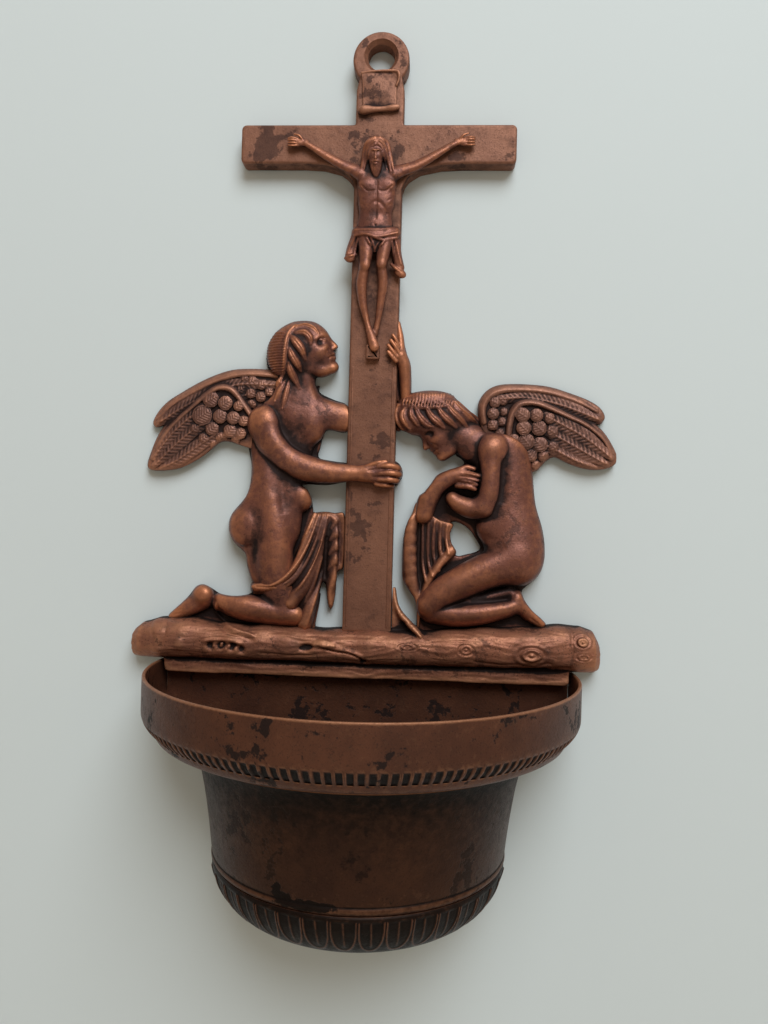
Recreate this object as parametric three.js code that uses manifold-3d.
// Wall-hung holy water pot: a cast relief of a crucifix between two kneeling angels on a log,
// over a half-round bowl of sheet copper. Millimetres, +Z up, the wall is the plane y = 0 and the
// front faces -Y. The origin is the centre of the hanging hole on the wall plane.
import * as THREE from 'three';
import Module from 'manifold-3d';
import { mergeVertices } from 'three/addons/utils/BufferGeometryUtils.js';

const wasm = await Module();
wasm.setup();

// Driving dimensions
const GAP = 0.3;
const HOLE_RADIUS = 3.9;
const RING_RADIUS = 8.1;
const RING_CENTRE_Z = -1.0;
const RING_THICKNESS = 4.4;
const CROSS_THICKNESS = 4.8;
const CROSS_CHAMFER = 0.7;
const POST_HALF_WIDTH = 6.9;
const POST_FOOT_Z = -165.0;
const BEAM_LEFT_X = -39.9;
const BEAM_RIGHT_X = 39.2;
const BEAM_TOP_Z = -19.8;
const BEAM_BOTTOM_Z = -31.0;
const LOG_BOTTOM_Z = -174.6;
const FLANGE_BOTTOM_Z = -178.1;
const FLANGE_BACK = 1.3;
const FLANGE_FRONT = 5.6;
const BOWL_X = -0.3;
const BOWL_Y = -7.0;
const SHEET = 1.0;
const RIM_STEPS = 88;
const BODY_STEPS = 48;
const BASE_STEPS = 72;
const RIM_NOTCH = 0.45;
const PETAL_COUNT = 31;
const PETAL_SWELL = 0.35;
const DISC_RADIUS = 22.6;
const DISC_MIDDLE_Z = -239.3;

// The figures are drawn as they are seen from one eye point in front of the piece, on a plane
// in front of the wall. seen() carries such a point to its own depth in front of the wall.
const EYE = { x: 16.8, distance: 229.4, z: -133.0 };
const DATUM = 0.8;
function seen(x, z, depth, plane = 7) {
  const k = (EYE.distance - depth) / (EYE.distance - plane);
  return { x: EYE.x + (x - EYE.x) * k, y: -depth, z: EYE.z + (z - DATUM - EYE.z) * k, k };
}

// Solids

function toManifold(positions, triangles) {
  let volume = 0;
  for (let i = 0; i < triangles.length; i += 3) {
    const a = triangles[i] * 3;
    const b = triangles[i + 1] * 3;
    const c = triangles[i + 2] * 3;
    volume += positions[a] * (positions[b + 1] * positions[c + 2] - positions[b + 2] * positions[c + 1]);
    volume += positions[a + 1] * (positions[b + 2] * positions[c] - positions[b] * positions[c + 2]);
    volume += positions[a + 2] * (positions[b] * positions[c + 1] - positions[b + 1] * positions[c]);
  }
  const order = Uint32Array.from(triangles);
  if (volume < 0) {
    for (let i = 0; i < order.length; i += 3) {
      const swap = order[i];
      order[i] = order[i + 1];
      order[i + 1] = swap;
    }
  }
  return new wasm.Manifold(new wasm.Mesh({
    numProp: 3,
    vertProperties: Float32Array.from(positions),
    triVerts: order,
  }));
}

function fromGeometry(geometry) {
  geometry.deleteAttribute('normal');
  geometry.deleteAttribute('uv');
  const merged = mergeVertices(geometry, 1e-4);
  return toManifold(Array.from(merged.attributes.position.array), Array.from(merged.index.array));
}

function box(x0, x1, y0, y1, z0, z1) {
  const geometry = new THREE.BoxGeometry(x1 - x0, y1 - y0, z1 - z0);
  geometry.translate((x0 + x1) / 2, (y0 + y1) / 2, (z0 + z1) / 2);
  return fromGeometry(geometry);
}

function join(solids) {
  let all = solids[0];
  for (const solid of solids.slice(1)) {
    all = all.add(solid);
  }
  return all;
}

const BEHIND = box(-200, 200, 0, 60, -400, 100);

// A flat plate with the outline of true [x, z] points, from the depth back to the depth front,
// with its front edge chamfered
function plate(outline, back, front, chamfer = 0) {
  const rings = [[outline, back], [outline, front - chamfer]];
  if (chamfer > 0) {
    rings.push([grow(outline, -chamfer), front]);
  }
  const count = outline.length;
  const positions = [];
  const triangles = [];
  for (const [points, depth] of rings) {
    for (const [x, z] of points) {
      positions.push(x, -depth, z);
    }
  }
  const flat = outline.map(([x, z]) => new THREE.Vector2(x, z));
  const turn = THREE.ShapeUtils.isClockWise(flat) ? -1 : 1;
  const top = (rings.length - 1) * count;
  for (const [a, b, c] of THREE.ShapeUtils.triangulateShape(flat, [])) {
    triangles.push(a, c, b);
    triangles.push(top + a, top + b, top + c);
  }
  for (let r = 0; r < rings.length - 1; r += 1) {
    for (let i = 0; i < count; i += 1) {
      const a = r * count + i;
      const b = r * count + ((i + 1) % count);
      const [p, q] = turn > 0 ? [a, b] : [b, a];
      triangles.push(p, q, p + count, q, q + count, p + count);
    }
  }
  return toManifold(positions, triangles);
}

// An outline drawn on the seen plane, carried to the depth where its edge lies
function outlineAt(points, depth) {
  return points.map(([x, z]) => {
    const p = seen(x, z, depth);
    return [p.x, p.z];
  });
}

// An outline moved outwards by a distance, for clearance between neighbours
function grow(outline, distance) {
  let area = 0;
  outline.forEach(([x, z], i) => {
    const [x2, z2] = outline[(i + 1) % outline.length];
    area += x * z2 - x2 * z;
  });
  const side = area > 0 ? 1 : -1;
  return outline.map(([x, z], i) => {
    const [xa, za] = outline[(i + outline.length - 1) % outline.length];
    const [xb, zb] = outline[(i + 1) % outline.length];
    const a = new THREE.Vector2(x - xa, z - za).normalize();
    const b = new THREE.Vector2(xb - x, zb - z).normalize();
    const n = new THREE.Vector2(a.y + b.y, -a.x - b.x).normalize();
    const half = Math.max(0.6, Math.sqrt((1 + a.dot(b)) / 2));
    return [x + side * n.x * distance / half, z + side * n.y * distance / half];
  });
}

// A rounded limb along seen points [x, z, depth, half width, half depth]
function limb(points, sides = 10, plane = 7) {
  const nodes = points.map(([x, z, depth, wide, deep]) => {
    const p = seen(x, z, depth, plane);
    return { x: p.x, z: p.z, y: p.y, wide: wide * p.k, deep: deep * p.k };
  });
  const rings = [];
  const last = nodes.length - 1;
  nodes.forEach((node, i) => {
    const before = nodes[Math.max(0, i - 1)];
    const after = nodes[Math.min(last, i + 1)];
    const dir = new THREE.Vector2(after.x - before.x, after.z - before.z).normalize();
    if (i === 0) {
      rings.push({ ...node, dir, shift: -0.75 * node.wide, size: 0.62 });
    }
    rings.push({ ...node, dir, shift: 0, size: 1 });
    if (i === last) {
      rings.push({ ...node, dir, shift: 0.75 * node.wide, size: 0.62 });
    }
  });
  const positions = [];
  const triangles = [];
  for (const ring of rings) {
    for (let s = 0; s < sides; s += 1) {
      const t = (2 * Math.PI * s) / sides;
      const across = Math.cos(t) * ring.wide * ring.size;
      positions.push(
        ring.x + ring.dir.x * ring.shift - ring.dir.y * across,
        ring.y + Math.sin(t) * ring.deep * ring.size,
        ring.z + ring.dir.y * ring.shift + ring.dir.x * across,
      );
    }
  }
  for (let r = 0; r < rings.length - 1; r += 1) {
    for (let s = 0; s < sides; s += 1) {
      const a = r * sides + s;
      const b = r * sides + ((s + 1) % sides);
      triangles.push(a, b, a + sides, b, b + sides, a + sides);
    }
  }
  for (const [ring, end, base] of [[rings[0], -1, 0], [rings.at(-1), 1, (rings.length - 1) * sides]]) {
    const tip = positions.length / 3;
    positions.push(
      ring.x + end * ring.dir.x * ring.wide,
      ring.y,
      ring.z + end * ring.dir.y * ring.wide,
    );
    for (let s = 0; s < sides; s += 1) {
      const a = base + s;
      const b = base + ((s + 1) % sides);
      triangles.push(...(end < 0 ? [b, a, tip] : [a, b, tip]));
    }
  }
  return toManifold(positions, triangles);
}

// An egg-shaped mass at a seen point, turned in the plane of the relief
function mass(x, z, depth, rx, rz, deep, turn = 0, plane = 7) {
  const p = seen(x, z, depth, plane);
  const geometry = new THREE.SphereGeometry(1, 14, 10);
  geometry.scale(rx * p.k, deep * p.k, rz * p.k);
  geometry.rotateY(turn * Math.PI / 180);
  geometry.translate(p.x, p.y, p.z);
  return fromGeometry(geometry);
}

// A closed [radius, z] profile turned about the bowl's axis and cut off at the wall; wave gives
// each profile point its own fluting round the bowl
function turned(profile, steps, wave = () => 0) {
  const positions = [];
  const triangles = [];
  const count = profile.length;
  const from = -0.35;
  const sweep = Math.PI + 0.7;
  for (let i = 0; i <= steps; i += 1) {
    const t = from + (sweep * i) / steps;
    profile.forEach(([radius, z], j) => {
      const r = radius + wave(j, i, t);
      positions.push(BOWL_X - r * Math.cos(t), BOWL_Y - r * Math.sin(t), z);
    });
  }
  for (let i = 0; i < steps; i += 1) {
    for (let j = 0; j < count; j += 1) {
      const a = i * count + j;
      const b = i * count + ((j + 1) % count);
      triangles.push(a, b, a + count, b, b + count, a + count);
    }
  }
  const flat = profile.map(([r, z]) => new THREE.Vector2(r, z));
  const clockwise = THREE.ShapeUtils.isClockWise(flat);
  for (const face of THREE.ShapeUtils.triangulateShape(flat, [])) {
    const [a, b, c] = clockwise ? face : [face[0], face[2], face[1]];
    triangles.push(a, b, c);
    triangles.push(b + steps * count, a + steps * count, c + steps * count);
  }
  return toManifold(positions, triangles).subtract(BEHIND);
}

const group = new THREE.Group();
group.name = 'holy_water_pot';

function piece(name, solid, colour, roughness, metalness) {
  const mesh = solid.getMesh();
  const geometry = new THREE.BufferGeometry();
  geometry.setAttribute('position', new THREE.BufferAttribute(Float32Array.from(mesh.vertProperties), 3));
  geometry.setIndex(new THREE.BufferAttribute(Uint32Array.from(mesh.triVerts), 1));
  geometry.computeVertexNormals();
  const material = new THREE.MeshStandardMaterial({ color: colour, roughness, metalness });
  const part = new THREE.Mesh(geometry, material);
  part.name = name;
  group.add(part);
}

const CAST_COLOUR = 0x7a5142;
const FIGURE_COLOUR = 0x85543f;
const WING_COLOUR = 0x6b483d;
const CLOTH_COLOUR = 0x70493b;
const LOG_COLOUR = 0x87604a;
const SHEET_COLOUR = 0x553a2f;

// Cross: hanging ring, tongue, beam and post cast in one, with small fillets under the arms

const circle = (x, z, radius, steps) => Array.from({ length: steps }, (_, i) => {
  const t = (2 * Math.PI * i) / steps;
  return [x + radius * Math.cos(t), z + radius * Math.sin(t)];
});

function roundedBox(x0, x1, z0, z1, r) {
  const c = r * 0.3;
  return [
    [x0, z0 + r], [x0 + c, z0 + c], [x0 + r, z0], [x1 - r, z0], [x1 - c, z0 + c], [x1, z0 + r],
    [x1, z1 - r], [x1 - c, z1 - c], [x1 - r, z1], [x0 + r, z1], [x0 + c, z1 - c], [x0, z1 - r],
  ];
}

const postOutline = [
  [-POST_HALF_WIDTH, POST_FOOT_Z], [POST_HALF_WIDTH, POST_FOOT_Z],
  [POST_HALF_WIDTH, RING_CENTRE_Z], [-POST_HALF_WIDTH, RING_CENTRE_Z],
];
const leftFillet = [
  [-16, -30], [-16, -31.2], [-11, -32.6], [-8.4, -34.6], [-6.6, -38], [-5, -38], [-5, -30],
];
const rightFillet = [
  [18, -30], [18, -31.2], [12, -32.6], [8.6, -34.8], [6.6, -38.4], [5, -38.4], [5, -30],
];
const beamOutline = roundedBox(BEAM_LEFT_X, BEAM_RIGHT_X, BEAM_BOTTOM_Z, BEAM_TOP_Z, 1.4);
const cross = join([
  plate(circle(0, RING_CENTRE_Z, RING_RADIUS, 36), 0, RING_THICKNESS, 0.8),
  plate(postOutline, 0, CROSS_THICKNESS, CROSS_CHAMFER),
  plate(beamOutline, 0, CROSS_THICKNESS, CROSS_CHAMFER),
  plate(leftFillet, 0, 3.6),
  plate(rightFillet, 0, 3.6),
]).subtract(plate(circle(0, 0, HOLE_RADIUS, 32), -5, 12));
piece('cross', cross, CAST_COLOUR, 0.55, 0.75);

const POST_SIDE = POST_HALF_WIDTH + GAP;
const CROSS_FRONT_Y = -CROSS_THICKNESS - GAP;
const postClearance = box(-POST_SIDE, POST_SIDE, CROSS_FRONT_Y, 5, POST_FOOT_Z - GAP, 9);
const crossFrontClearance = box(-60, 60, CROSS_FRONT_Y, 5, -100, 20);

// Scroll over the crucifix: a bare curled sheet with a roll at its foot

const scrollSheet = [
  [-5.6, -5.6], [-4.4, -5.2], [4.2, -5.0], [5.1, -5.6], [5.3, -7.0], [4.7, -9.0], [4.8, -15.6],
  [-5.0, -15.6], [-5.2, -9.0],
];
const scroll = join([
  plate(scrollSheet, CROSS_THICKNESS + GAP, CROSS_THICKNESS + 1.0),
  limb([[-4.2, -16.0, 5.7, 1.5, 1.1], [0, -15.8, 5.6, 0.9, 0.8], [4.4, -15.4, 5.7, 1.2, 1.0]], 8, 5),
]).subtract(crossFrontClearance);
piece('titulus_scroll', scroll, CAST_COLOUR, 0.55, 0.75);

// Foot block under the crucified figure

const footBlock = plate(roundedBox(-2.0, 1.8, -87.6, -83.4, 0.5), CROSS_THICKNESS + GAP, 7.0, 0.3);
const footBlockClearance = box(-2.0 - GAP, 1.8 + GAP, -7.0 - GAP, 0, -87.9, -83.4 + GAP);
piece('foot_rest', footBlock, CAST_COLOUR, 0.5, 0.75);

// Crucified figure with its loincloth

const corpus = join([
  mass(-0.8, -26.4, 8.0, 3.1, 4.2, 3.0, 0, 5),
  limb([[-4.2, -26, 6.6, 1.1, 1.2], [-4.3, -31.5, 6.2, 0.9, 1.0]], 8, 5),
  limb([[2.9, -26, 6.6, 1.1, 1.2], [3.6, -31.5, 6.2, 0.9, 1.0]], 8, 5),
  limb([[-0.7, -30, 8.3, 1.8, 1.6], [-0.5, -33.6, 8.4, 1.0, 1.1]], 8, 5),
  limb([[-5.4, -33, 6.3, 2.3, 1.9], [5.4, -33, 6.3, 2.3, 1.9]], 10, 5),
  limb([[-0.3, -35.5, 6.4, 5.6, 2.5], [-0.3, -40.5, 6.7, 5.2, 2.7], [-0.5, -46, 6.2, 4.6, 2.1],
    [-0.5, -50.5, 6.4, 5.4, 2.4]], 12, 5),
  limb([[-5.5, -32.3, 6.2, 2.0, 1.6], [-11, -30.2, 6.2, 1.6, 1.3], [-16, -27.1, 6.2, 1.3, 1.2],
    [-20.3, -24.3, 6.1, 1.2, 1.1], [-25.6, -24.2, 6.0, 1.1, 1.0]], 8, 5),
  limb([[-21, -24, 6.1, 0.8, 0.8], [-23.2, -21.7, 6.1, 0.6, 0.7], [-25, -21.6, 6.1, 0.5, 0.6]], 6, 5),
  limb([[5.5, -32.3, 6.2, 2.0, 1.6], [12, -30, 6.2, 1.6, 1.3], [17.2, -26.9, 6.2, 1.3, 1.2],
    [21.6, -24.2, 6.1, 1.2, 1.1], [26.4, -24, 6.0, 1.1, 1.0]], 8, 5),
  limb([[21.5, -23.6, 6.1, 0.8, 0.8], [24.2, -22.0, 6.1, 0.6, 0.7]], 6, 5),
  limb([[-3.2, -51, 6.6, 2.4, 1.9], [-3.0, -57.5, 7.4, 1.9, 1.9], [-3.8, -64, 6.6, 1.6, 1.5],
    [-3.1, -70, 6.3, 1.4, 1.3], [-1.6, -76, 6.2, 1.1, 1.1], [-0.6, -80.4, 6.3, 1.3, 1.2],
    [0.2, -82.6, 6.9, 1.4, 1.0]], 8, 5),
  limb([[2.8, -51, 6.6, 2.4, 1.9], [1.7, -57.5, 7.3, 1.8, 1.8], [1.9, -64, 6.5, 1.5, 1.4],
    [1.5, -70, 6.2, 1.3, 1.2], [0.9, -75, 6.0, 1.0, 0.9], [0.2, -79, 5.9, 0.9, 0.8]], 8, 5),
  limb([[-5.6, -49.6, 6.6, 1.6, 1.7], [-0.4, -51.2, 7.6, 1.9, 1.7], [5.4, -50.4, 6.6, 1.7, 1.7]], 8, 5),
  limb([[-0.4, -51, 7.2, 3.0, 1.6], [-0.5, -55.0, 6.8, 1.1, 1.4]], 8, 5),
  limb([[-5.4, -50.6, 6.0, 1.7, 1.2], [-6.9, -54.6, 6.0, 1.4, 1.2], [-7.6, -57.6, 6.2, 1.5, 1.3]], 8, 5),
  limb([[5.2, -51, 6.0, 1.6, 1.2], [6.2, -57, 6.0, 1.4, 1.2], [7.4, -61.6, 6.2, 1.4, 1.2]], 8, 5),
]).subtract(crossFrontClearance).subtract(footBlockClearance);
piece('corpus', corpus, FIGURE_COLOUR, 0.5, 0.75);

// Log under the figures, with the flange that hangs inside the bowl and the root by the post

const LOG_STATIONS = [
  // x, top, bottom, depth
  [-67.4, -167.2, -171.4, 2.6], [-66.8, -164.8, -173.2, 5.6], [-64.5, -162.8, -173.9, 7.8],
  [-60, -161.8, -174, 8.9], [-52, -161.4, -174, 9.4], [-40, -162.2, -174, 9.4],
  [-24, -162.8, -174, 9.2], [-8, -163, -174, 9.2], [8, -163, -174, 9.3], [24, -162.2, -174, 9.4],
  [40, -161, -174, 9.4], [52, -160.4, -174, 9.4], [60, -160.5, -174, 9.0], [63.6, -161.8, -173.8, 7.8],
  [65.2, -164.6, -172.8, 5.4], [65.7, -167.4, -171, 2.6],
];
function logSolid(extra) {
  const positions = [];
  const triangles = [];
  const around = 12;
  const stations = LOG_STATIONS.map(([x, top, bottom, depth], i) => {
    const a = seen(x, top, 4);
    const b = seen(x, bottom, 5);
    const endwise = i === 0 ? -extra : i === LOG_STATIONS.length - 1 ? extra : 0;
    const foot = Math.max(b.z, LOG_BOTTOM_Z) - extra;
    return { x: b.x + endwise, top: a.z + extra, bottom: foot, depth: depth + extra };
  });
  for (const station of stations) {
    const mid = (station.top + station.bottom) / 2;
    const half = (station.top - station.bottom) / 2;
    positions.push(station.x, 0.0, station.bottom);
    for (let i = 1; i < around; i += 1) {
      const t = -Math.PI / 2 + (Math.PI * i) / around;
      const y = -station.depth * Math.pow(Math.cos(t), 0.62);
      const rise = Math.sign(Math.sin(t)) * Math.pow(Math.abs(Math.sin(t)), 0.8);
      positions.push(station.x, y, mid + half * rise);
    }
    positions.push(station.x, 0.0, station.top);
  }
  const count = around + 1;
  for (let i = 0; i < stations.length - 1; i += 1) {
    for (let j = 0; j < count; j += 1) {
      const a = i * count + j;
      const b = i * count + ((j + 1) % count);
      triangles.push(a, a + count, b, b, a + count, b + count);
    }
  }
  for (let j = 1; j < count - 1; j += 1) {
    const end = (stations.length - 1) * count;
    triangles.push(0, j, j + 1);
    triangles.push(end, end + j + 1, end + j);
  }
  return toManifold(positions, triangles);
}
const flangeOutline = [
  [-57.9, -173.6], [-57.9, -176.6], [-56.6, FLANGE_BOTTOM_Z],
  [56, FLANGE_BOTTOM_Z], [57.3, -176.6], [57.3, -173.6],
];
const ROOT = [
  [6.4, -150], [7.6, -153.8], [9.6, -157.6], [12.4, -160.6], [16.5, -163.4], [16, -168], [6.4, -168],
];
const rootOutline = outlineAt(ROOT, 2);
const logWithFlange = join([
  logSolid(0),
  plate(flangeOutline, FLANGE_BACK, FLANGE_FRONT),
  plate(rootOutline, 0, 3.4, 0.6),
  limb([[8.4, -156.5, 2.6, 1.1, 1.9], [10.6, -159.8, 3.4, 1.3, 2.0], [14, -163, 4.6, 1.5, 2.4]], 8),
]).subtract(postClearance).subtract(BEHIND);
piece('log_beam', logWithFlange, LOG_COLOUR, 0.6, 0.7);
const logClearance = logSolid(GAP);
const rootClearance = join([
  plate(grow(rootOutline, GAP), -1, 3.8),
  limb([[8.4, -156.5, 2.6, 1.4, 2.2], [10.6, -159.8, 3.4, 1.6, 2.3], [14, -163, 4.6, 1.8, 2.7]], 8),
]);

// Left angel: seen from behind, kneeling, one arm in front of the post and one behind it

const LEFT_BODY = [
  [-20.5, -76], [-24, -77], [-27.5, -79.4], [-29.8, -82.6], [-30.4, -86.5], [-29.8, -90.3],
  [-27.8, -92.8], [-27.8, -96.4], [-30.5, -99.8], [-34, -101.6], [-35.4, -105], [-35.4, -110.4],
  [-34.7, -114], [-33.9, -118], [-34, -122.5], [-35.2, -126.5], [-37.8, -129.5], [-39.5, -132.5],
  [-39.7, -136.5], [-38, -140], [-35, -142.6], [-34.3, -146], [-33.2, -149.5], [-32.1, -152.3],
  [-33.5, -153.9], [-37, -154.7], [-41, -154.3], [-44, -152.6], [-46.6, -151.6], [-48.8, -152.4],
  [-50.5, -154.6], [-53, -157.3], [-56.8, -161.6], [-50, -164], [-40, -166], [-30, -166], [-20, -165],
  [-16.5, -163.4], [-16.5, -150], [-14.8, -140], [-14.6, -131.5], [-15.6, -130.4], [-16.2, -127],
  [-17.8, -123.9], [-18.8, -122.7], [-12, -122.8], [-6.5, -121.8], [-2, -122.2], [0.5, -122.9],
  [4, -123.4], [7.6, -122.6], [9.1, -120.5], [9.3, -118.6], [8.5, -116.5], [6.5, -115.2], [2.5, -115.3],
  [-1.5, -116.3], [-7, -116.2], [-12, -115.6], [-14.6, -114.9], [-14.1, -112.5], [-13.3, -109],
  [-11.8, -107.3], [-6.9, -107.9], [-6.9, -99.8], [-10, -98.7], [-14, -97], [-14.9, -96],
  [-14.9, -94.6], [-11.7, -92.9], [-9.8, -90.7], [-10.8, -88.7], [-10.4, -87.7], [-11.3, -86.3],
  [-10.5, -84.8], [-13.2, -82.2], [-14.6, -79.4], [-17.3, -77],
];
const LEFT_CLOTH = [
  [-15.6, -130.4], [-10.5, -130.1], [-6.9, -130.7], [-6.9, -146], [-8.3, -147.2], [-8.6, -153],
  [-9.2, -157], [-10.2, -157.8], [-11.1, -156], [-11.9, -150.3], [-12.9, -151.5], [-13.3, -156],
  [-14.1, -159.5], [-14.4, -163.5], [-19.4, -163.5], [-21.4, -159.6], [-24.5, -157.9], [-28, -156],
  [-32, -153.8], [-32.2, -151], [-28.4, -151.3], [-24.2, -149.8], [-20.6, -145.4], [-17.8, -138.6],
];
const leftBodyOutline = outlineAt(LEFT_BODY, 2.4);
const leftClothOutline = outlineAt(LEFT_CLOTH, 2.4);
// The cloth lies in front of the leg, which goes on as a thin back under it
const leftClothZone = plate(grow(leftClothOutline, GAP), 2.0, 20);
const leftAngel = join([
  plate(leftBodyOutline, 0, 2.6, 0.5),
  mass(-20.8, -85.2, 3.8, 8.6, 8.0, 4.0, -20),
  limb([[-17, -86, 3.8, 5.2, 3.4], [-12.8, -89.4, 3.4, 2.6, 2.6]]),
  limb([[-21.5, -91, 2.6, 4.8, 3.2], [-22, -98, 2.8, 6.0, 3.2]]),
  limb([[-23.5, -103.5, 2.4, 9.4, 4.4], [-25.2, -112, 2.6, 8.6, 4.6], [-25.8, -121, 2.6, 7.8, 4.6],
    [-27, -129, 2.8, 9.2, 5.2], [-28.6, -137, 3.0, 9.2, 5.8], [-27.6, -145, 3.0, 6.8, 5.6],
    [-25.6, -153, 3.2, 6.0, 5.2]], 12),
  mass(-33.4, -135, 2.8, 6.3, 6.6, 5.2),
  limb([[-29.5, -128, 4.8, 2.6, 3.2], [-27.6, -136, 5.6, 3.6, 3.6], [-26.2, -144, 5.4, 3.8, 3.6]]),
  limb([[-21.4, -159.6, 3.6, 3.4, 4.4], [-29, -158.4, 3.8, 3.8, 4.4], [-37, -157.8, 3.4, 3.2, 3.8],
    [-42, -156.8, 3.0, 2.6, 3.4]]),
  limb([[-46.8, -155, 2.6, 3.0, 3.4], [-51, -158.4, 2.2, 2.6, 2.6], [-55.2, -161.4, 1.8, 1.6, 2.2]], 8),
  limb([[-30.4, -104.6, 5.0, 4.5, 3.8], [-28.4, -110.5, 5.6, 4.2, 3.8], [-23.6, -115.8, 6.2, 4.0, 3.6],
    [-17.4, -118.6, 6.6, 3.7, 3.2], [-9.5, -119.1, 6.8, 2.8, 2.4], [-3, -118.8, 7.0, 2.3, 2.0],
    [0.6, -118.8, 7.0, 2.6, 1.9], [4.2, -119.2, 6.9, 3.5, 2.0]], 10),
  limb([[4.4, -117, 6.6, 1.5, 1.6], [8.2, -118, 5.0, 1.2, 2.4]], 8),
  limb([[4.4, -121.2, 6.6, 1.6, 1.6], [7.8, -120.6, 5.0, 1.4, 2.4]], 8),
  limb([[-17.2, -102, 1.8, 4.8, 3.2], [-8.4, -103.8, 1.8, 4.2, 2.7]]),
]).intersect(plate(leftBodyOutline, -1, 20))
  .subtract(leftClothZone)
  .subtract(postClearance)
  .subtract(logClearance)
  .subtract(BEHIND);
piece('left_angel', leftAngel, FIGURE_COLOUR, 0.5, 0.75);

const LEFT_WING_FAR = [
  [-25, -92.6], [-27, -90.6], [-30, -90.3], [-35, -90.2], [-40, -90.6], [-45, -92.2], [-50, -94.6],
  [-55, -97.6], [-58.3, -99.9], [-60.8, -102.6], [-62.4, -105.7], [-61.6, -107.1], [-59.5, -106.7],
  [-50, -104], [-40, -100], [-30, -103], [-25, -99],
];
const LEFT_WING_NEAR = [
  [-33, -104], [-36.5, -99.5], [-39, -95.5], [-41.5, -94.2], [-45, -94.6], [-48.5, -97], [-52, -100],
  [-56, -103.5], [-59.4, -107], [-61.3, -110.5], [-62.7, -114.3], [-63.7, -118], [-62.6, -119.4],
  [-58.5, -119.5], [-54, -118.6], [-49, -116], [-45.4, -113.2], [-43, -111.2], [-40.5, -110.8],
  [-37, -111.8], [-33, -112],
];
const leftWings = join([
  plate(outlineAt(LEFT_WING_FAR, 2), 0, 2.2, 0.5),
  plate(outlineAt(LEFT_WING_NEAR, 2.4), 0, 3.2, 0.6),
  limb([[-35.5, -101.4, 3.4, 1.1, 1.2], [-38.4, -96.6, 3.4, 1.2, 1.2], [-42, -95, 3.4, 1.1, 1.2],
    [-47, -97, 3.3, 0.9, 1.0], [-53, -102.2, 3.1, 0.8, 0.9], [-58.5, -108.2, 2.9, 0.6, 0.8]], 6),
  limb([[-44, -103, 3.0, 0.9, 0.9], [-52.5, -107.5, 3.0, 0.9, 0.9], [-60.5, -116.4, 2.8, 0.7, 0.8]], 6),
  limb([[-43, -108, 3.0, 0.9, 0.9], [-51, -112.8, 3.0, 0.9, 0.9], [-59, -118, 2.8, 0.7, 0.8]], 6),
  limb([[-30, -91.8, 2.2, 0.9, 0.9], [-40, -92, 2.2, 0.8, 0.9], [-50, -96.6, 2.1, 0.8, 0.8],
    [-60, -104, 2.0, 0.7, 0.8]], 6),
]).subtract(plate(grow(leftBodyOutline, GAP), -2, 20)).subtract(BEHIND);
piece('left_wings', leftWings, WING_COLOUR, 0.6, 0.7);

const leftCloth = join([
  plate(leftClothOutline, 0, 2.4, 0.5),
  limb([[-13.4, -132, 2.4, 1.8, 1.6], [-15.6, -139, 3.6, 1.9, 2.4], [-18.4, -146, 4.6, 2.0, 3.0],
    [-23, -152, 5.0, 2.0, 3.0], [-29.6, -152.8, 3.6, 1.3, 3.6]], 8),
  limb([[-11, -132, 2.2, 1.2, 1.5], [-13.8, -142, 3.2, 1.8, 2.2], [-16.4, -150, 4.2, 2.4, 2.8],
    [-20.6, -156.4, 4.6, 2.2, 3.2]], 8),
  limb([[-14.6, -150, 2.8, 1.5, 2.0], [-16.4, -157, 3.4, 1.8, 2.6], [-17, -161.6, 3.4, 2.0, 2.6]], 8),
  limb([[-10.1, -138, 2.4, 1.5, 1.2], [-10, -146, 2.3, 1.4, 1.1], [-10, -152, 2.0, 0.9, 1.2],
    [-10.1, -156.4, 1.8, 0.8, 1.0]], 6),
]).intersect(plate(leftClothOutline, -1, 20))
  .subtract(plate(grow(leftBodyOutline, GAP), -2, 2.0 + GAP))
  .subtract(postClearance)
  .subtract(logClearance)
  .subtract(BEHIND);
piece('left_drapery', leftCloth, CLOTH_COLOUR, 0.55, 0.75);

// Hand and forearm of the left angel's far arm, coming out beside the post and over its edge

const FAR_HAND = [
  [6.2, -74], [7.4, -77.6], [9.2, -83.6], [10.6, -89.6], [10.8, -96.4], [10.2, -98.4], [6.9, -98.4],
  [3.9, -84.6], [3.8, -80.4], [5.2, -79.4], [6.0, -77.8],
];
const farHandOutline = outlineAt(FAR_HAND, 4.6);
const RIGHT_BODY = [
  [6, -99.3], [8.6, -97], [12, -95.8], [16, -95.2], [20, -95.4], [23, -96.6], [25.5, -99], [28, -101.2],
  [30.3, -103], [31.6, -106.5], [34, -106.9], [38, -107.3], [41.5, -109], [44.3, -112], [45.6, -116],
  [46, -121], [46.8, -127], [48.6, -132.5], [49.6, -138], [49.4, -143], [48, -146.7], [45.3, -149.3],
  [43.6, -151], [44.2, -153.3], [46.5, -156.3], [49.6, -158.9], [50.2, -160.6], [46, -164],
  [38, -165.5], [26, -166], [16.5, -166], [14.2, -163], [13.9, -155.5], [13.4, -150], [13, -140],
  [13.4, -126.6], [15.4, -124], [17.4, -121.3], [18.8, -119], [20.6, -118], [24, -116.7],
  [26.2, -115.8], [25.3, -114.6], [23.4, -113.9], [21.4, -115.3], [19.4, -115.2], [17.8, -114.1],
  [17.0, -113.1], [15.2, -113.3], [12.6, -110], [10, -107.6], [7, -107.2], [6.2, -104], [5.6, -101],
];
const rightBodyOutline = outlineAt(RIGHT_BODY, 2.4);
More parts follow.
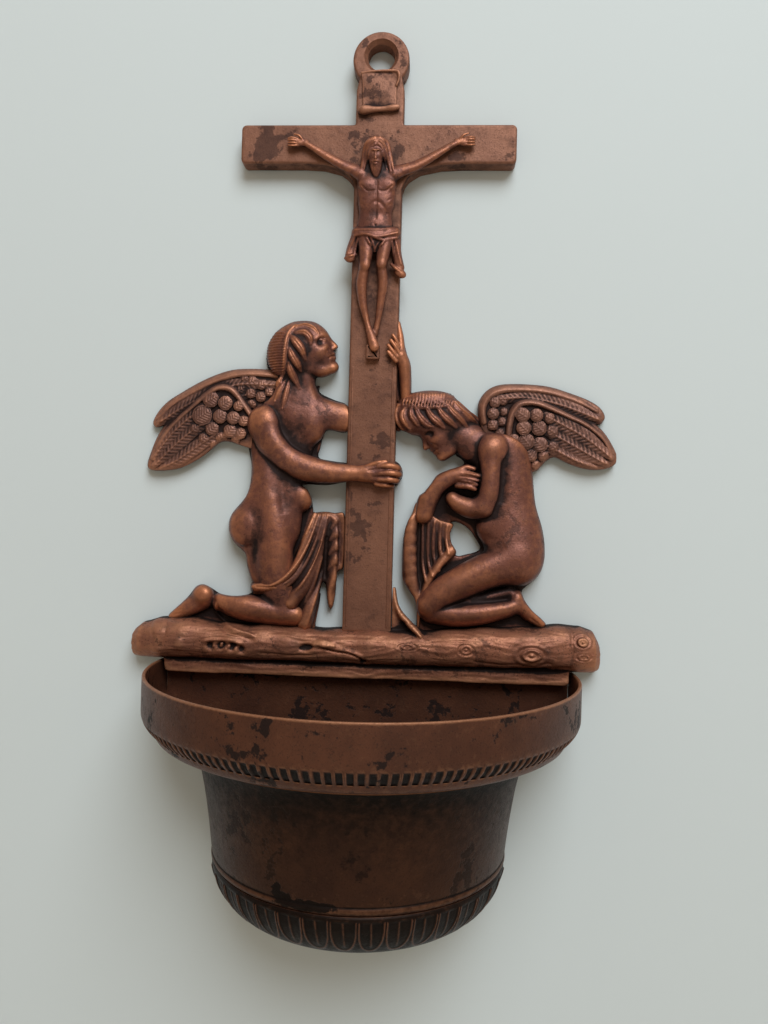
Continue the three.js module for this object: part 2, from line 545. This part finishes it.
const farHand = join([
  plate(farHandOutline, 0, 4.2, 0.5),
  limb([[9.0, -96, 3.0, 1.7, 2.4], [8.8, -90, 3.6, 1.8, 2.4], [7.4, -84.6, 4.6, 1.7, 2.2],
    [5.4, -81, 5.4, 1.1, 1.4]], 8),
  limb([[8.2, -86, 4.0, 1.2, 2.0], [7.0, -79.4, 4.4, 0.9, 1.4], [6.6, -76, 4.0, 0.7, 1.2]], 6),
]).intersect(plate(farHandOutline, -1, 20))
  .subtract(postClearance)
  .subtract(plate(grow(rightBodyOutline, GAP), -2, 20))
  .subtract(BEHIND);
piece('left_angel_far_hand', farHand, FIGURE_COLOUR, 0.5, 0.75);

// Right angel: head bowed, hands crossed on the breast, holding the end of the cloth

const RIGHT_CLOTH = [
  [13.4, -126.6], [16.4, -129], [20, -131.4], [24, -132.6], [23.3, -135.5], [23.8, -138.5],
  [25, -141.3], [21.2, -145], [18.2, -149.4], [16.4, -153.4], [15.8, -158], [15, -163], [14.2, -163],
  [13.8, -155], [12, -152], [9.9, -149], [9.6, -143], [9.8, -137], [10.8, -133], [12.3, -129.8],
];
const RIGHT_GAP = [
  [23.6, -132.4], [23.1, -135.5], [23.6, -138.5], [25, -141.3], [27.5, -140.9], [30, -140.2],
  [31.2, -139.2], [30, -137], [28.6, -134.9], [26.5, -133.2],
];
const rightClothOutline = outlineAt(RIGHT_CLOTH, 2.4);
const rightAngel = join([
  plate(rightBodyOutline, 0, 2.6, 0.5),
  mass(17.2, -103.6, 3.8, 9.2, 7.4, 4.0, 24),
  limb([[16.5, -107, 3.8, 5.0, 3.4], [19.6, -111.4, 3.4, 3.4, 2.8]]),
  limb([[21, -101, 3.6, 3.4, 3.4], [27, -104.4, 3.0, 3.2, 3.0]]),
  limb([[26.8, -108.6, 2.8, 4.6, 3.2], [33, -112, 2.8, 5.2, 3.6]]),
  limb([[36.2, -113.5, 2.6, 8.4, 4.6], [38.4, -121, 2.6, 7.6, 4.8], [39.4, -129, 2.8, 8.2, 5.0],
    [40.8, -137, 2.8, 8.6, 5.6], [41, -143, 2.8, 7.8, 5.6]], 12),
  limb([[33.4, -133, 2.6, 3.6, 3.6], [36.4, -139, 3.0, 4.4, 4.6]], 8),
  limb([[40.6, -142, 3.8, 7.0, 5.2], [32.4, -146.2, 4.4, 5.4, 5.0], [25, -150.4, 4.4, 4.8, 4.8],
    [19.6, -154.6, 4.0, 4.4, 4.4]], 12),
  limb([[18.6, -156.6, 3.6, 3.8, 4.2], [26, -158, 3.6, 3.2, 4.0], [34, -157, 3.4, 2.8, 3.6],
    [40.6, -155.6, 3.0, 2.4, 3.2]]),
  limb([[41.6, -152.6, 2.8, 1.5, 2.8], [45, -156, 2.6, 2.2, 2.8], [48.6, -159.4, 2.2, 1.4, 2.2]], 8),
  limb([[33.6, -112, 5.2, 4.2, 3.8], [34.6, -119.5, 6.0, 3.6, 3.6], [33, -126.4, 6.2, 3.6, 3.4],
    [28.6, -128.8, 5.8, 2.9, 2.8], [23.8, -127, 5.2, 2.2, 2.4]], 10),
  limb([[16, -127.6, 4.2, 3.2, 3.2], [19, -122.4, 4.8, 2.7, 3.2], [23.4, -119.6, 5.4, 2.6, 2.6],
    [28, -120.8, 6.2, 2.7, 1.9], [30.4, -122.2, 6.6, 2.0, 1.6]], 10),
]).intersect(plate(rightBodyOutline, -1, 20))
  .subtract(plate(outlineAt(RIGHT_GAP, 2.4), -2, 20))
  .subtract(plate(grow(rightClothOutline, GAP), -2, 20))
  .subtract(postClearance)
  .subtract(logClearance)
  .subtract(rootClearance)
  .subtract(BEHIND);
piece('right_angel', rightAngel, FIGURE_COLOUR, 0.5, 0.75);

const RIGHT_WING_FAR = [
  [33, -108], [31.6, -107], [30.5, -104], [30, -101], [30.4, -98], [32.2, -95.5], [35, -93.9],
  [39, -93.4], [45, -93.5], [50, -94.1], [55, -95.6], [60, -97.4], [63.3, -99.3], [64.8, -101.6],
  [64.3, -103.2], [62.7, -104.1], [55, -104], [45, -105], [38, -111],
];
const RIGHT_WING_NEAR = [
  [36, -111], [37.4, -104], [38.5, -100], [40.5, -97.8], [43, -97], [47, -97.3], [51, -98.8],
  [56, -101], [61, -103.2], [64.5, -106], [67, -109.7], [68.5, -113.2], [67.5, -115.3], [64, -116.5],
  [59.5, -116.3], [55, -114.9], [51.5, -113.3], [49.3, -114.3], [47.5, -116.3], [46.4, -117.2],
  [43, -117],
];
const rightWings = join([
  plate(outlineAt(RIGHT_WING_FAR, 2), 0, 2.2, 0.5),
  plate(outlineAt(RIGHT_WING_NEAR, 2.4), 0, 3.2, 0.6),
  limb([[38.6, -105, 3.4, 1.1, 1.2], [39.8, -99.6, 3.4, 1.2, 1.2], [43, -98, 3.4, 1.1, 1.2],
    [48.5, -98.8, 3.3, 0.9, 1.0], [56, -102.6, 3.1, 0.8, 0.9], [63.4, -107.4, 2.9, 0.6, 0.8]], 6),
  limb([[50, -103, 3.0, 0.9, 0.9], [57, -106.6, 3.0, 0.9, 0.9], [65.8, -112.6, 2.8, 0.7, 0.8]], 6),
  limb([[50.4, -108.6, 3.0, 0.9, 0.9], [57, -111.4, 3.0, 0.9, 0.9], [64, -115, 2.8, 0.7, 0.8]], 6),
  limb([[33, -97.4, 2.2, 0.9, 0.9], [38, -94.8, 2.2, 0.8, 0.9], [48, -95.2, 2.1, 0.8, 0.8],
    [62, -100.6, 2.0, 0.7, 0.8]], 6),
]).subtract(plate(grow(rightBodyOutline, GAP), -2, 20)).subtract(BEHIND);
piece('right_wings', rightWings, WING_COLOUR, 0.6, 0.7);

const rightCloth = join([
  plate(rightClothOutline, 0, 2.8, 0.5),
  limb([[13.6, -130, 3.0, 1.7, 2.2], [12.2, -138, 3.2, 1.8, 2.2], [12.4, -147, 3.2, 1.8, 2.2],
    [14.6, -154, 3.2, 1.6, 2.4]], 8),
  limb([[16.6, -131, 3.4, 1.3, 1.8], [16.8, -140, 3.6, 1.3, 1.9], [15.6, -150, 3.4, 1.3, 1.9]], 8),
  limb([[20.4, -133, 3.2, 1.3, 1.7], [20, -140, 3.4, 1.3, 1.8], [17.8, -147.4, 3.4, 1.3, 1.8]], 8),
]).intersect(plate(rightClothOutline, -1, 20))
  .subtract(postClearance)
  .subtract(logClearance)
  .subtract(rootClearance)
  .subtract(BEHIND);
piece('right_drapery', rightCloth, CLOTH_COLOUR, 0.55, 0.75);

// Bowl: gadrooned rim band, plain body, fluted base and the flat back plate, all of thin sheet

const RIM = [
  [59.7, -174.9], [59.7, -185.5], [59.2, -186.8], [57.6, -189.0], [55.0, -190.7], [53.6, -191.4],
  [46.6, -191.4], [46.6, -190.4], [53.2, -190.4], [54.4, -189.8], [56.8, -188.2], [58.3, -186.3],
  [58.7, -185.3], [58.7, -174.9],
];
// The fluting under the band is a ring of shallow notches in its lower slope
const notch = (j, i) => (j >= 2 && j <= 3 && i % 2 ? -RIM_NOTCH : 0);
piece('rim_band', turned(RIM, RIM_STEPS, notch), SHEET_COLOUR, 0.5, 0.8);

const BODY = [
  [52.2, -191.7], [52.2, -192.4], [47.6, -193.4], [45.4, -196], [43.9, -200], [42.3, -208],
  [41.0, -217], [39.9, -224.4], [38.9, -224.4], [40.0, -217], [41.3, -208], [42.9, -200], [44.4, -196],
  [46.4, -193.2], [46.6, -191.7],
];
piece('basin_body', turned(BODY, BODY_STEPS), SHEET_COLOUR, 0.55, 0.8);

const BASE = [
  [39.9, -224.7], [40.1, -225.6], [39.6, -228.3], [37.6, -232.1], [34.1, -235.7], [29, -238.1],
  [21.2, -239.6], [21.2, -238.6], [28.6, -237.2], [33.4, -234.9], [36.6, -231.6], [38.4, -228.1],
  [38.9, -224.7],
];
const petal = (j, i, t) => (j >= 2 && j <= 3 ? PETAL_SWELL * Math.abs(Math.cos((PETAL_COUNT * t) / 2)) : 0);
const bottomDisc = new THREE.CylinderGeometry(DISC_RADIUS, DISC_RADIUS, SHEET, 32);
bottomDisc.rotateX(Math.PI / 2);
bottomDisc.translate(BOWL_X, BOWL_Y, DISC_MIDDLE_Z);
const basePan = join([turned(BASE, BASE_STEPS, petal), fromGeometry(bottomDisc).subtract(BEHIND)]);
piece('base_pan', basePan, SHEET_COLOUR, 0.55, 0.8);

const chord = (r) => Math.sqrt(r * r - BOWL_Y * BOWL_Y) - 0.35;
const backHalf = [
  [chord(58.7), -174.9], [chord(58.7), -185.4], [chord(58.2), -186.3], [chord(56.6), -188.2],
  [chord(54.2), -189.6], [chord(53.4), -190.05], [chord(46.5), -190.05], [chord(46.5), -191.7],
  [chord(46.3), -193.2], [chord(44.3), -196], [chord(42.8), -200], [chord(41.2), -208],
  [chord(39.9), -217], [chord(38.8), -224.6], [chord(38.2), -228], [chord(36.3), -231.4],
  [chord(33.1), -234.5], [chord(28.4), -236.8], [chord(21.8), -238.0],
];
const backOutline = [
  ...backHalf.map(([w, z]) => [BOWL_X + w, z]),
  ...backHalf.slice().reverse().map(([w, z]) => [BOWL_X - w, z]),
];
piece('basin_back_plate', plate(backOutline, 0, SHEET), SHEET_COLOUR, 0.6, 0.8);

export default group;
